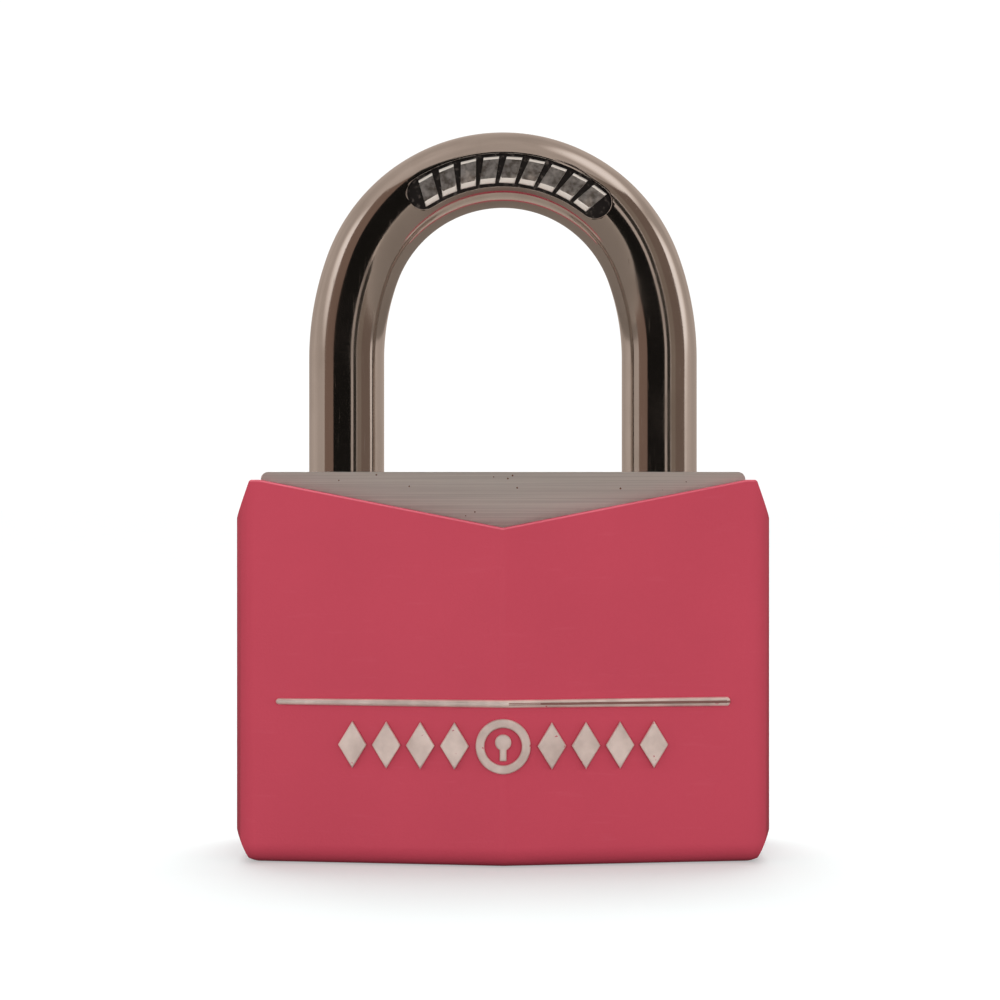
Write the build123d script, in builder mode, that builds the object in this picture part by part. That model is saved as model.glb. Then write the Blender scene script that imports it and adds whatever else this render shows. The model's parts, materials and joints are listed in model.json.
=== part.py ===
"""Covered pin-tumbler padlock: an aluminium block in a moulded sleeve, closed and unlocked.

Millimetres. +Z up, +X across the width towards the heel leg, front towards -Y, and the origin in
the middle of the underside. The plug is drawn turned by its quarter turn, with the bolts drawn
back and the pin stacks at the shear line, as the right key holds them.
"""

from build123d import *
from math import atan2, cos, degrees, radians, sin, sqrt
import os

os.makedirs("parts", exist_ok=True)

# ---- shackle
bar_dia = 6.35
leg_spacing = 26.46
crown_radius = 12.65  # centre line of the middle arc
shoulder_radius = 22.5  # centre line of the arcs that lead into the legs
overall_height = 60.6
lift = 11.5
toe_above_block = 1.1  # how far the lifted toe clears the block
toe_taper = 0.9
heel_chamfer = 0.3

# ---- lock block
block_width = 39.7
block_depth = 12.7
block_height = 30.2
block_corner = 0.6

# ---- cover
cover_width = 43.6
cover_floor = 1.6
cover_side_depth = 16.0
cover_crease_depth = 22.0
cover_below_top = 0.65  # the cover's shoulders stand this far below the block's top
notch_depth = 3.9
notch_half_width = 19.5
cover_top_chamfer = (1.2, 3.2)  # across, down
cover_bottom_chamfer = (1.05, 2.4)
cover_bottom_flat = (0.85, 0.3)
cover_side_round = 1.9
cover_crease_round = 3.0
cover_base_round = 1.7
cover_lip_round = 0.3
cover_notch_tip_round = 2.0
cover_fit = 0.05
plug_window_dia = 11.0

# ---- trim on the front face
trim_inset = 0.3
trim_proud = 0.4
rule_height = 0.6
rule_z = 13.2
rule_half_length = 18.4
emblem_z = 9.8
emblem_height = 4.4
emblem_ring = 0.7
keyhole_radius = 0.65
keyhole_stem = (0.55, 1.15)
lozenge_width = 2.3
lozenge_height = 3.8
lozenge_pitch = 2.75
lozenge_start = 0.62  # of a pitch, from the ring to the first lozenge
lozenges_a_side = 4

# ---- marks in the crown
mark_count = 9
mark_half_span = 42.0  # degrees, from the middle to the end of the recess
mark_band = 2.7
mark_floor = 0.58  # below the bar's front line
mark_rise = 0.4
mark_below_axis = 0.35
mark_width = 1.3
mark_height = 2.3
mark_slant = 14.0
mark_offset = 3.0  # degrees, stamped a little towards the heel leg
mark_spread = 0.93  # share of the band that the row of marks takes

# ---- bores and fits
bore_clearance = 0.125  # shackle legs
cross_bore_dia = 6.1
cross_bore_z = 25.5
plug_clearance = 0.025
plug_bore_overlap = 0.75  # how far the plug bore runs up into the cross bore
pin_clearance = 0.05
bolt_clearance = 0.05
heel_bore_floor = 2.6
toe_bore_gap = 0.6

# ---- shackle heel
collar_z = 5.9
collar_top = 7.6
neck_radius = 1.9
retainer_dia = 1.6
retainer_gap = 0.1
retainer_from_neck = 0.35
retainer_inset = 0.25  # below the block's faces
spring_wall = 0.6

# ---- plug and cam
plug_dia = 9.0
plug_top = 20.4
keyway_width = 1.9
keyway_reach = 3.6  # past the axis, away from the pins
keyway_near = 1.2  # past the axis, towards the pins
keyway_depth_z = 16.4
keyway_jog = 0.45
plug_groove_depth = 1.0
plug_rim = 0.3
plug_pin_above_chamber = 1.05
tongue = (6.0, 1.6, 0.9)
tongue_play = 0.1
cam_under_plug = 0.4  # the cam's diameter is this much less than the plug's
cam_thickness = 1.5
peg_dia = 0.9
peg_top = 24.9
quarter_turn = 90.0

# ---- bolts
bolt_travel = 1.5
nose_height = 3.4
nose_length = 2.2
nose_from_bar = 0.25
notch_play = 0.2
bolt_body = 3.1
tail_end = 2.2
tail_split = 0.05
tail_top_gap = 0.15
window_play = 0.08
bolt_spring_dia = 2.4
bolt_spring_pocket = 1.2

# ---- pin stacks
chamber_dia = 2.9
first_chamber_z = 5.3
chamber_pitch = 3.7
key_pin_lengths = (3.0, 2.6, 3.4, 2.8)
key_pin_travel = 1.2
key_pin_end_gap = 0.25  # below the plug's surface, so that the pin's rim clears the bore
driver_length = 4.0
driver_gap = 0.06
cap_length = 2.3
cap_inset = 0.1
cap_chamfer = 0.2
key_pin_tip = 0.9
pin_edge = 0.15
pin_spring_wall = 0.3
pin_hole_play = 0.15

# ---- worked out
bar = bar_dia / 2
leg_x = leg_spacing / 2
block_top = cover_floor + block_height
half_width = block_width / 2
half_depth = block_depth / 2
leg_bore = bar + bore_clearance
toe_bottom = block_top + toe_above_block - lift
toe_bore_floor = toe_bottom - toe_bore_gap
cross_bore = cross_bore_dia / 2
bolt_radius = cross_bore - bolt_clearance
plug_radius = plug_dia / 2
plug_bore = plug_radius + plug_clearance
chamber = chamber_dia / 2
pin_radius = chamber - pin_clearance
chamber_zs = [first_chamber_z + i * chamber_pitch for i in range(len(key_pin_lengths))]
retainer = retainer_dia / 2
retainer_z = collar_top + lift + retainer_gap + retainer
retainer_x = leg_x + neck_radius + retainer_from_neck + retainer
pin_hole_past_axis = key_pin_travel + max(key_pin_lengths) + key_pin_end_gap - plug_radius + pin_hole_play
plug_pin_z = chamber_zs[-1] + chamber + plug_pin_above_chamber
plug_groove_radius = plug_radius - plug_groove_depth
plug_pin_x = plug_groove_radius + pin_clearance + retainer
cam_radius = (plug_dia - cam_under_plug) / 2
peg_circle = bolt_travel / 2 / sin(radians(quarter_turn / 2))
peg_angle = quarter_turn / 2
nose_tip = leg_x - bar - nose_from_bar
body_start = nose_tip - nose_length
body_end = body_start - bolt_body
cover_top = block_top - cover_below_top
chamber_mouth = half_width - cap_inset
spring_start = plug_radius + driver_gap + driver_length
spring_end = chamber_mouth - cap_length

# ---- the arch: two shoulder arcs and a crown arc, all tangent
shoulder_centre = shoulder_radius - leg_x
crown_rise = sqrt((shoulder_radius - crown_radius) ** 2 - shoulder_centre**2)
arch_turn = atan2(crown_rise, shoulder_centre)  # turn of each shoulder arc
spring_line = overall_height - bar - crown_radius - crown_rise
crown_z = spring_line + crown_rise


def arch_point(radius, angle):
    """Point on a circle about the crown's centre, at an angle from straight up."""
    return (radius * sin(angle), crown_z + radius * cos(angle))


def save(builder, label):
    """Label a finished piece and write it."""
    builder.part.label = label
    export_step(builder.part, f"parts/{label}.step")


def tube(outer, inner, plane, length):
    """Sleeve that a coil spring fills, from the plane along its normal."""
    with BuildPart() as sleeve:
        with BuildSketch(plane):
            Circle(outer)
            Circle(inner, mode=Mode.SUBTRACT)
        extrude(amount=length)
    return sleeve


# ============================================================ lock block
with BuildPart() as lock_block:
    with BuildSketch(Plane.XZ):
        with Locations((0, cover_floor + block_height / 2)):
            RectangleRounded(block_width, block_height, block_corner)
    extrude(amount=half_depth, both=True)
    # bores for the two legs of the shackle
    for x, floor in ((-leg_x, toe_bore_floor), (leg_x, heel_bore_floor)):
        with BuildSketch(Plane.XY.offset(floor)):
            with Locations((x, 0)):
                Circle(leg_bore)
        extrude(amount=block_top, mode=Mode.SUBTRACT)
    # plug bore, which opens into the cross bore above it
    with BuildSketch(Plane.XY):
        Circle(plug_bore)
    extrude(amount=cross_bore_z - cross_bore + plug_bore_overlap, mode=Mode.SUBTRACT)
    # cross bore from the toe side to the heel bore
    with BuildSketch(Plane.YZ.offset(-half_width)):
        with Locations((0, cross_bore_z)):
            Circle(cross_bore)
    extrude(amount=half_width + leg_x, mode=Mode.SUBTRACT)
    # pin chambers from the toe side to the plug bore
    with BuildSketch(Plane.YZ.offset(-half_width)):
        with Locations(*[(0, z) for z in chamber_zs]):
            Circle(chamber)
    extrude(amount=half_width, mode=Mode.SUBTRACT)
    # cross holes for the pins that hold the shackle and the plug
    with BuildSketch(Plane.XZ.offset(-half_depth)):
        with Locations((retainer_x, retainer_z), (plug_pin_x, plug_pin_z)):
            Circle(retainer)
    extrude(amount=block_depth - retainer_inset, mode=Mode.SUBTRACT)
save(lock_block, "lock_block")


# ============================================================ cover
def cover_plan(grow=0.0, side_round=0.0):
    """Creased outline of the cover seen from above."""
    half = cover_width / 2 + grow
    side = cover_side_depth / 2 + grow
    crease = cover_crease_depth / 2 + grow
    with BuildSketch() as plan:
        with BuildLine():
            front = [(-half, side), (-half, -side), (0, -crease)]
            Polyline(*front, *[(-x, -y) for x, y in front], close=True)
        make_face()
        fillet(vertices().filter_by(lambda v: abs(v.X) < 0.01), cover_crease_round + grow)
        if side_round > 0:
            fillet(vertices().filter_by(lambda v: abs(v.X) > half - 0.01), side_round)
    return plan.sketch


with BuildPart() as cover:
    with BuildSketch(Plane.XY):
        add(cover_plan(side_round=cover_side_round))
    extrude(amount=block_top)
    fillet(faces().sort_by(Axis.Z)[0].edges(), cover_base_round)
    # front view of the cover: chamfered shoulders, shallow notch, chamfered foot
    with BuildSketch(Plane.XZ):
        with BuildLine():
            half = cover_width / 2
            foot = half - cover_bottom_chamfer[0]
            shoulder = half - cover_top_chamfer[0]
            outline = [
                (foot - cover_bottom_flat[0], 0),
                (foot, cover_bottom_flat[1]),
                (half, cover_bottom_chamfer[1] + cover_bottom_flat[1]),
                (half, cover_top - cover_top_chamfer[1]),
                (shoulder, cover_top),
                (notch_half_width, cover_top),
                (0, cover_top - notch_depth),
            ]
            left = [(-x, z) for x, z in reversed(outline[:-1])]
            Polyline(*outline, *left, close=True)
        make_face()
        notch_tip = vertices().filter_by(lambda v: abs(v.X) < 0.01)
        fillet(notch_tip, cover_notch_tip_round)
    extrude(amount=cover_crease_depth, both=True, mode=Mode.INTERSECT)
    # rounded lip along the notch and the shoulders, front and back
    above_notch = cover_top - notch_depth - 0.2
    lip = edges().filter_by(lambda e: abs(e.center().Y) > half_depth and e.center().Z > above_notch)
    fillet(lip, cover_lip_round)
    # pocket for the block
    with BuildSketch(Plane.XY.offset(cover_floor)):
        Rectangle(block_width + 2 * cover_fit, block_depth + 2 * cover_fit)
    extrude(amount=block_height, mode=Mode.SUBTRACT)
    with BuildSketch(Plane.XY):
        Circle(plug_window_dia / 2)
    extrude(amount=cover_floor, mode=Mode.SUBTRACT)


def trim_band(low, high):
    """Thin layer that follows the creased front face between two heights."""
    with BuildPart() as band:
        with BuildSketch(Plane.XY.offset(low)):
            add(cover_plan(trim_proud))
        extrude(amount=high - low)
        with BuildSketch(Plane.XY.offset(low)):
            add(cover_plan(-trim_inset))
        extrude(amount=high - low, mode=Mode.SUBTRACT)
        split(bisect_by=Plane.XZ.offset(half_depth), keep=Keep.TOP)
    return band


# ============================================================ raised rule and emblem
rule_band = trim_band(rule_z - rule_height / 2, rule_z + rule_height / 2)
with BuildPart() as front_rule:
    add(rule_band.part)
    with BuildSketch(Plane.XZ):
        with Locations((0, rule_z)):
            SlotOverall(2 * rule_half_length, rule_height)
    extrude(amount=cover_crease_depth, mode=Mode.INTERSECT)
save(front_rule, "front_rule")

emblem_band = trim_band(emblem_z - emblem_height / 2, emblem_z + emblem_height / 2)
with BuildPart() as front_emblem:
    add(emblem_band.part)
    with BuildSketch(Plane.XZ):
        with Locations((0, emblem_z)):
            Circle(emblem_height / 2)
            Circle(emblem_height / 2 - emblem_ring, mode=Mode.SUBTRACT)
            with Locations((0, keyhole_radius / 2)):
                Circle(keyhole_radius)
            Rectangle(*keyhole_stem, align=(Align.CENTER, Align.MAX))
        places = [emblem_height / 2 + lozenge_pitch * (i + lozenge_start) for i in range(lozenges_a_side)]
        for x in [side * place for side in (-1, 1) for place in places]:
            with BuildLine():
                Polyline(
                    (x - lozenge_width / 2, emblem_z),
                    (x, emblem_z + lozenge_height / 2),
                    (x + lozenge_width / 2, emblem_z),
                    (x, emblem_z - lozenge_height / 2),
                    close=True,
                )
            make_face()
    extrude(amount=cover_crease_depth, mode=Mode.INTERSECT)
save(front_emblem, "front_emblem")

with BuildPart() as cover_seated:
    add(cover.part)
    add(front_rule.part, mode=Mode.SUBTRACT)
    add(front_emblem.part, mode=Mode.SUBTRACT)
save(cover_seated, "cover")

# ============================================================ shackle
toe_joint = (-leg_x, spring_line)
heel_joint = (leg_x, spring_line)
left_crown = arch_point(crown_radius, -(radians(90) - arch_turn))
right_crown = arch_point(crown_radius, radians(90) - arch_turn)
shoulder_mid = (
    shoulder_radius * cos(arch_turn / 2) - shoulder_centre,
    spring_line + shoulder_radius * sin(arch_turn / 2),
)

with BuildPart() as shackle:
    with BuildLine(Plane.XZ) as bar_path:
        Line((-leg_x, toe_bottom), toe_joint)
        ThreePointArc(toe_joint, (-shoulder_mid[0], shoulder_mid[1]), left_crown)
        ThreePointArc(left_crown, arch_point(crown_radius, 0), right_crown)
        ThreePointArc(right_crown, shoulder_mid, heel_joint)
        Line(heel_joint, (leg_x, collar_z))
    with BuildSketch(Plane.XY.offset(toe_bottom)):
        with Locations((-leg_x, 0)):
            Circle(bar)
    sweep(path=bar_path.line)
    # tapered toe and heel
    chamfer(edges().filter_by(GeomType.CIRCLE).group_by(Axis.Z)[0], heel_chamfer)
    toe_rim = edges().filter_by(GeomType.CIRCLE).filter_by(lambda e: abs(e.center().Z - toe_bottom) < 0.01)
    chamfer(toe_rim, toe_taper)
    # neck that the retaining pin runs in
    with BuildSketch(Plane.XY.offset(collar_top)):
        with Locations((leg_x, 0)):
            Circle(bar + bore_clearance)
            Circle(neck_radius, mode=Mode.SUBTRACT)
    extrude(amount=retainer_z + retainer + retainer_gap - collar_top, mode=Mode.SUBTRACT)
    # notches for the two bolts, on the inner side of each leg
    notch_bottom = nose_tip + bolt_travel + notch_play
    with BuildSketch(Plane.XZ):
        for side in (-1, 1):
            with Locations((side * (notch_bottom + nose_tip - bar) / 2, cross_bore_z)):
                Rectangle(notch_bottom - nose_tip + bar, nose_height + 2 * notch_play)
    extrude(amount=bar_dia, both=True, mode=Mode.SUBTRACT)
    # sunk band across the crown, and the marks that stand in it
    mark_radius = crown_radius - mark_below_axis
    band_half = radians(mark_half_span) - mark_band / 2 / mark_radius
    band_middle = radians(mark_offset)
    band_floor = bar - mark_floor
    with BuildSketch(Plane.XZ.offset(band_floor)):
        with BuildLine() as band_line:
            ThreePointArc(
                arch_point(mark_radius, band_middle - band_half),
                arch_point(mark_radius, band_middle),
                arch_point(mark_radius, band_middle + band_half),
            )
        SlotArc(band_line.line.edge(), mark_band)
    extrude(amount=bar, mode=Mode.SUBTRACT)
    with BuildSketch(Plane.XZ.offset(band_floor)):
        for i in range(mark_count):
            angle = band_middle + band_half * (2 * i / (mark_count - 1) - 1) * mark_spread
            with Locations(Location((*arch_point(mark_radius, angle), 0), -degrees(angle))):
                Trapezoid(mark_width, mark_height, 90 - mark_slant, 90 + mark_slant)
    extrude(amount=mark_rise)
save(shackle, "shackle")

heel_spring_radius = bar - bore_clearance
heel_spring = tube(
    heel_spring_radius,
    heel_spring_radius - spring_wall,
    Plane((leg_x, 0, heel_bore_floor), z_dir=(0, 0, 1)),
    collar_z - heel_bore_floor,
)
save(heel_spring, "shackle_spring")

# ============================================================ cross pins that hold shackle and plug
cross_pins = (
    ("shackle_retaining_pin", retainer_x, retainer_z),
    ("plug_retaining_pin", plug_pin_x, plug_pin_z),
)
for label, x, z in cross_pins:
    with BuildPart() as cross_pin:
        with BuildSketch(Plane.XZ.offset(-half_depth + retainer_inset)):
            with Locations((x, z)):
                Circle(retainer)
        extrude(amount=block_depth - 3 * retainer_inset)
        chamfer(edges().filter_by(GeomType.CIRCLE), pin_edge)
    save(cross_pin, label)

# ============================================================ plug and cam
with BuildPart() as plug:
    with BuildSketch(Plane.XY.offset(cover_floor)):
        Circle(plug_radius)
    extrude(amount=plug_top - cover_floor)
    chamfer(edges().filter_by(GeomType.CIRCLE).group_by(Axis.Z)[0], plug_rim)
    # keyway, stepped once like a real profile
    with BuildSketch(Plane.XY.offset(cover_floor)):
        with Locations((0, (keyway_reach - keyway_near) / 2)):
            Rectangle(keyway_width - keyway_jog, keyway_reach + keyway_near)
        with Locations((keyway_jog, keyway_reach / 2)):
            Rectangle(keyway_width - keyway_jog, keyway_reach / 2)
    extrude(amount=keyway_depth_z, mode=Mode.SUBTRACT)
    # pin holes, which face the front while the plug is turned
    with BuildSketch(Plane.XZ.offset(-pin_hole_past_axis)):
        with Locations(*[(0, z) for z in chamber_zs]):
            Circle(chamber)
    extrude(amount=plug_dia, mode=Mode.SUBTRACT)
    # groove for the retaining pin
    with BuildSketch(Plane.XY.offset(plug_pin_z - retainer - pin_clearance)):
        Circle(plug_dia)
        Circle(plug_groove_radius, mode=Mode.SUBTRACT)
    extrude(amount=retainer_dia + 2 * pin_clearance, mode=Mode.SUBTRACT)
    # tongue that turns the cam
    with BuildSketch(Plane.XY.offset(plug_top)):
        Rectangle(tongue[0], tongue[1])
    extrude(amount=tongue[2])
save(plug, "plug")

with BuildPart() as cam:
    with BuildSketch(Plane.XY.offset(plug_top)):
        Circle(cam_radius)
        Rectangle(tongue[0] + tongue_play, tongue[1] + tongue_play, mode=Mode.SUBTRACT)
    extrude(amount=tongue[2])
    with BuildSketch(Plane.XY.offset(plug_top + tongue[2])):
        Circle(cam_radius)
    extrude(amount=cam_thickness - tongue[2])
    with BuildSketch(Plane.XY.offset(plug_top + cam_thickness)):
        with PolarLocations(peg_circle, 2, -peg_angle):
            Circle(peg_dia / 2)
    extrude(amount=peg_top - plug_top - cam_thickness)
save(cam, "cam")

# ============================================================ locking bolts
peg_x = peg_circle * cos(radians(peg_angle))
peg_y_near = peg_circle * sin(radians(peg_angle))
window = peg_dia + 2 * window_play
for label, side in (("locking_bolt_toe", -1), ("locking_bolt_heel", 1)):
    with BuildPart() as bolt:
        with BuildSketch(Plane.YZ.offset(body_end)):
            with Locations((0, cross_bore_z)):
                Circle(bolt_radius)
        extrude(amount=nose_tip - body_end)
        # nose, flat above and below
        for up in (-1, 1):
            with BuildSketch(Plane.YZ.offset(body_start)):
                with Locations((0, cross_bore_z + up * (nose_height / 2 + bolt_radius))):
                    Rectangle(4 * bolt_radius, 2 * bolt_radius)
            extrude(amount=nose_length, mode=Mode.SUBTRACT)
        # tail, in the lower half of the bore and to one side of the middle
        with BuildSketch(Plane.YZ.offset(-tail_end)):
            with Locations((0, cross_bore_z)):
                Circle(bolt_radius)
            with Locations((0, cross_bore_z + bolt_radius - tail_top_gap)):
                Rectangle(4 * bolt_radius, 2 * bolt_radius, mode=Mode.SUBTRACT)
            with Locations((tail_split - bolt_radius, cross_bore_z)):
                Rectangle(2 * bolt_radius, 4 * bolt_radius, mode=Mode.SUBTRACT)
        extrude(amount=tail_end + body_end)
        # window for the cam's peg
        with BuildSketch(Plane.XY.offset(cross_bore_z - bolt_radius)):
            with Locations((-peg_x, (peg_circle + peg_y_near) / 2)):
                Rectangle(window, peg_circle - peg_y_near + window)
        extrude(amount=bolt_radius, mode=Mode.SUBTRACT)
        # pocket for the spring
        with BuildSketch(Plane.YZ.offset(body_end)):
            with Locations((0, cross_bore_z + bolt_radius / 2)):
                Circle(bolt_spring_dia / 2 + pin_clearance)
        extrude(amount=bolt_spring_pocket, mode=Mode.SUBTRACT)
        if side < 0:
            mirror(about=Plane.YZ, mode=Mode.REPLACE)
            mirror(about=Plane.XZ, mode=Mode.REPLACE)
    save(bolt, label)

spring_reach = body_end + bolt_spring_pocket
bolt_spring = tube(
    bolt_spring_dia / 2,
    bolt_spring_dia / 2 - pin_spring_wall,
    Plane((-spring_reach, 0, cross_bore_z + bolt_radius / 2), z_dir=(1, 0, 0)),
    2 * spring_reach,
)
save(bolt_spring, "bolt_spring")

with BuildPart() as cross_bore_cap:
    with BuildSketch(Plane.YZ.offset(-chamber_mouth)):
        with Locations((0, cross_bore_z)):
            Circle(cross_bore)
    extrude(amount=cap_length)
    chamfer(edges().filter_by(GeomType.CIRCLE).group_by(Axis.X)[0], cap_chamfer)
save(cross_bore_cap, "cross_bore_cap")

# ============================================================ pin stacks
with BuildPart() as chamber_caps:
    with BuildSketch(Plane.YZ.offset(-chamber_mouth)):
        with Locations(*[(0, z) for z in chamber_zs]):
            Circle(chamber)
    extrude(amount=cap_length)
    chamfer(edges().filter_by(GeomType.CIRCLE).group_by(Axis.X)[0], cap_chamfer)
save(chamber_caps, "chamber_caps")

for number, (z, key_pin_length) in enumerate(zip(chamber_zs, key_pin_lengths), start=1):
    with BuildPart() as key_pin:
        with BuildSketch(Plane.XZ.offset(plug_radius - key_pin_end_gap - key_pin_length)):
            with Locations((0, z)):
                Circle(pin_radius)
        extrude(amount=key_pin_length)
        tip, end = edges().filter_by(GeomType.CIRCLE).sort_by(Axis.Y, reverse=True)
        chamfer(tip, key_pin_tip)
        chamfer(end, pin_edge)
    save(key_pin, f"key_pin_{number}")

    with BuildPart() as driver:
        with BuildSketch(Plane.YZ.offset(-spring_start)):
            with Locations((0, z)):
                Circle(pin_radius)
        extrude(amount=driver_length)
        chamfer(edges().filter_by(GeomType.CIRCLE), pin_edge)
    save(driver, f"driver_pin_{number}")

    pin_spring = tube(
        pin_radius - pin_clearance,
        pin_radius - pin_clearance - pin_spring_wall,
        Plane((-spring_end, 0, z), z_dir=(1, 0, 0)),
        spring_end - spring_start,
    )
    save(pin_spring, f"pin_spring_{number}")

print("arch: spring line", round(spring_line, 2), "crown centre", round(crown_z, 2))
print("toe bottom", round(toe_bottom, 2), "shackle pin at", round(retainer_x, 2), round(retainer_z, 2))
print("bolt travel per radian", round(bolt_travel / radians(quarter_turn), 5))
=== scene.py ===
# %% [markdown]
# # A covered padlock, shown closed
# The lock is an aluminium block in a creased, moulded vinyl cover, with a round chromed
# shackle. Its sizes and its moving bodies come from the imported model, which is loaded first
# and never changed: the pieces below are new surfaces over it, or finishes for it.

# %% load the frame
import bmesh
import bpy
import json
from math import atan2, ceil, cos, pi, radians, sin, sqrt
from mathutils import Matrix, Vector


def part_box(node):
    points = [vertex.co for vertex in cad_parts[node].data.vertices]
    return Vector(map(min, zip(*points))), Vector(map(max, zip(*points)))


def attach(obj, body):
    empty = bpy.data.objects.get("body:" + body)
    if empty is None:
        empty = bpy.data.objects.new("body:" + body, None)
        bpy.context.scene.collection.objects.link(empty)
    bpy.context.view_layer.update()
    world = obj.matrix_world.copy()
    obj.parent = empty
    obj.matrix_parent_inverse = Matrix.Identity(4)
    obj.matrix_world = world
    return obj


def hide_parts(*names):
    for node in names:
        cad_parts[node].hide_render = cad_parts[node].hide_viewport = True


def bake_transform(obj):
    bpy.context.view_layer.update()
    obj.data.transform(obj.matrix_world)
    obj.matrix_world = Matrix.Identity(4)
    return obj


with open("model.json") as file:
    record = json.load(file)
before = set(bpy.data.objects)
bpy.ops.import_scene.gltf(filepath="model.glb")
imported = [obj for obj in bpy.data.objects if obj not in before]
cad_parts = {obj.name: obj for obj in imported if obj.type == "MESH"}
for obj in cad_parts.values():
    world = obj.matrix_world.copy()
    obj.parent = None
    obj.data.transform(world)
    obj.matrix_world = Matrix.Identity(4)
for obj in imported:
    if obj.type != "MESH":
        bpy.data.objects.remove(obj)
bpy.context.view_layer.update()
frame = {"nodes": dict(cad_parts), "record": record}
nodes = frame["nodes"]
MM = 0.001

# %% [markdown]
# ## Places that the pieces share
# A maker reads sizes off the drawing instead of measuring each part again. Here the drawing
# is the frame, so every place below comes from the box of a node.

# %% places
cover_low, cover_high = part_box("cover")
block_low, block_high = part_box("lock_block")
shackle_low, shackle_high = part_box("shackle")
rule_low, rule_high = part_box("front_rule")
bar = (shackle_high.y - shackle_low.y) / 2
leg_x = shackle_high.x - bar
print("bar radius", round(bar / MM, 3), "leg at", round(leg_x / MM, 3))

# %% [markdown]
# ## Helpers for making pieces
# A piece starts as a bmesh, becomes an object that sits at the origin, and then is shaded
# smooth with its true corners kept sharp. A solid that has to be cut is cut by a second
# closed solid, and the cut is applied at once so that nothing is left live on the piece.

# %% make an object from a bmesh
def piece_from(bm, name):
    """Turn a bmesh into an object at the origin, with its faces pointing outwards."""
    bmesh.ops.remove_doubles(bm, verts=bm.verts, dist=0.0005 * MM)
    bmesh.ops.recalc_face_normals(bm, faces=bm.faces)
    mesh = bpy.data.meshes.new(name)
    bm.to_mesh(mesh)
    bm.free()
    piece = bpy.data.objects.new(name, mesh)
    bpy.context.scene.collection.objects.link(piece)
    return piece


def smooth(piece, corner=35):
    """Shade smooth, and keep edges sharper than the corner angle, in degrees."""
    piece.data.shade_smooth()
    piece.data.set_sharp_from_angle(angle=radians(corner))


def keep_flats_flat(piece):
    """Let large faces set the normals, and keep the fold down the middle of the piece crisp."""
    for edge in piece.data.edges:
        if all(abs(piece.data.vertices[v].co.x) < MM / 100 for v in edge.vertices):
            edge.use_edge_sharp = True
    weighted = piece.modifiers.new("flats", "WEIGHTED_NORMAL")
    weighted.keep_sharp = True
    weighted.weight = 100
    applied(piece)


def applied(piece):
    """Apply every modifier of a piece."""
    bpy.context.view_layer.update()
    evaluated = piece.evaluated_get(bpy.context.evaluated_depsgraph_get())
    mesh = bpy.data.meshes.new_from_object(evaluated)
    piece.modifiers.clear()
    piece.data = mesh


def verts_in(geometry):
    """The vertices among what an operator made."""
    return [item for item in geometry if isinstance(item, bmesh.types.BMVert)]


def edges_in(geometry):
    """The edges among what an operator made."""
    return [item for item in geometry if isinstance(item, bmesh.types.BMEdge)]


def thickened(bm, face, shift):
    """Pull a flat face by a distance, into a closed solid."""
    made = bmesh.ops.extrude_face_region(bm, geom=[face])["geom"]
    bmesh.ops.translate(bm, verts=verts_in(made), vec=shift)


def prism(outline, low, high, name, axis="Y"):
    """Closed solid: an outline of (x, z) or (x, y) points, pulled along Y or Z."""
    bm = bmesh.new()
    if axis == "Y":
        corners = [bm.verts.new((x, low, z)) for x, z in outline]
        shift = (0, high - low, 0)
    else:
        corners = [bm.verts.new((x, y, low)) for x, y in outline]
        shift = (0, 0, high - low)
    thickened(bm, bm.faces.new(corners), shift)
    return piece_from(bm, name)


def combined(piece, other, operation):
    """Join, cut or intersect a piece with another closed solid, and remove the other."""
    modifier = piece.modifiers.new("combine", "BOOLEAN")
    modifier.operation = operation
    modifier.solver = "EXACT"
    modifier.object = other
    applied(piece)
    bpy.data.objects.remove(other)


def bevelled(bm, edges, offset, segments, clamp=True):
    """Round some edges of a bmesh, and return the new faces."""
    return bmesh.ops.bevel(
        bm, geom=list(edges), offset=offset, segments=segments, profile=0.5,
        affect="EDGES", material=-1, clamp_overlap=clamp,
    )["faces"]


def reshaped(piece, work):
    """Open a piece's mesh, do some bmesh work on it, and put it back."""
    bm = bmesh.new()
    bm.from_mesh(piece.data)
    bmesh.ops.remove_doubles(bm, verts=bm.verts, dist=0.001 * MM)
    work(bm)
    bm.normal_update()
    bm.to_mesh(piece.data)
    bm.free()


# %% [markdown]
# ## Shared effects
# Several finishes need the same three effects: fine grain, long brushed lines, and small
# scattered specks. Each is a node group, built once, that reads the place on the object in
# metres, so the grain has its real size wherever it is used.

# %% node group: grain that can be stretched along an axis
def new_group(name, inputs, outputs):
    """Shader node group with named sockets. Inputs are (name, kind, default)."""
    group = bpy.data.node_groups.new(name, "ShaderNodeTree")
    for label, kind, default in inputs:
        socket = group.interface.new_socket(label, in_out="INPUT", socket_type=kind)
        socket.default_value = default
    for label, kind in outputs:
        group.interface.new_socket(label, in_out="OUTPUT", socket_type=kind)
    return group, group.nodes.new("NodeGroupInput"), group.nodes.new("NodeGroupOutput")


def math_node(tree, operation, first, second=None, clamp=False):
    """Math node whose inputs are sockets or numbers."""
    node = tree.nodes.new("ShaderNodeMath")
    node.operation = operation
    node.use_clamp = clamp
    for socket, value in zip(node.inputs, (first, second)):
        if value is None:
            continue
        if isinstance(value, (int, float)):
            socket.default_value = value
        else:
            tree.links.new(value, socket)
    return node.outputs[0]


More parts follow.
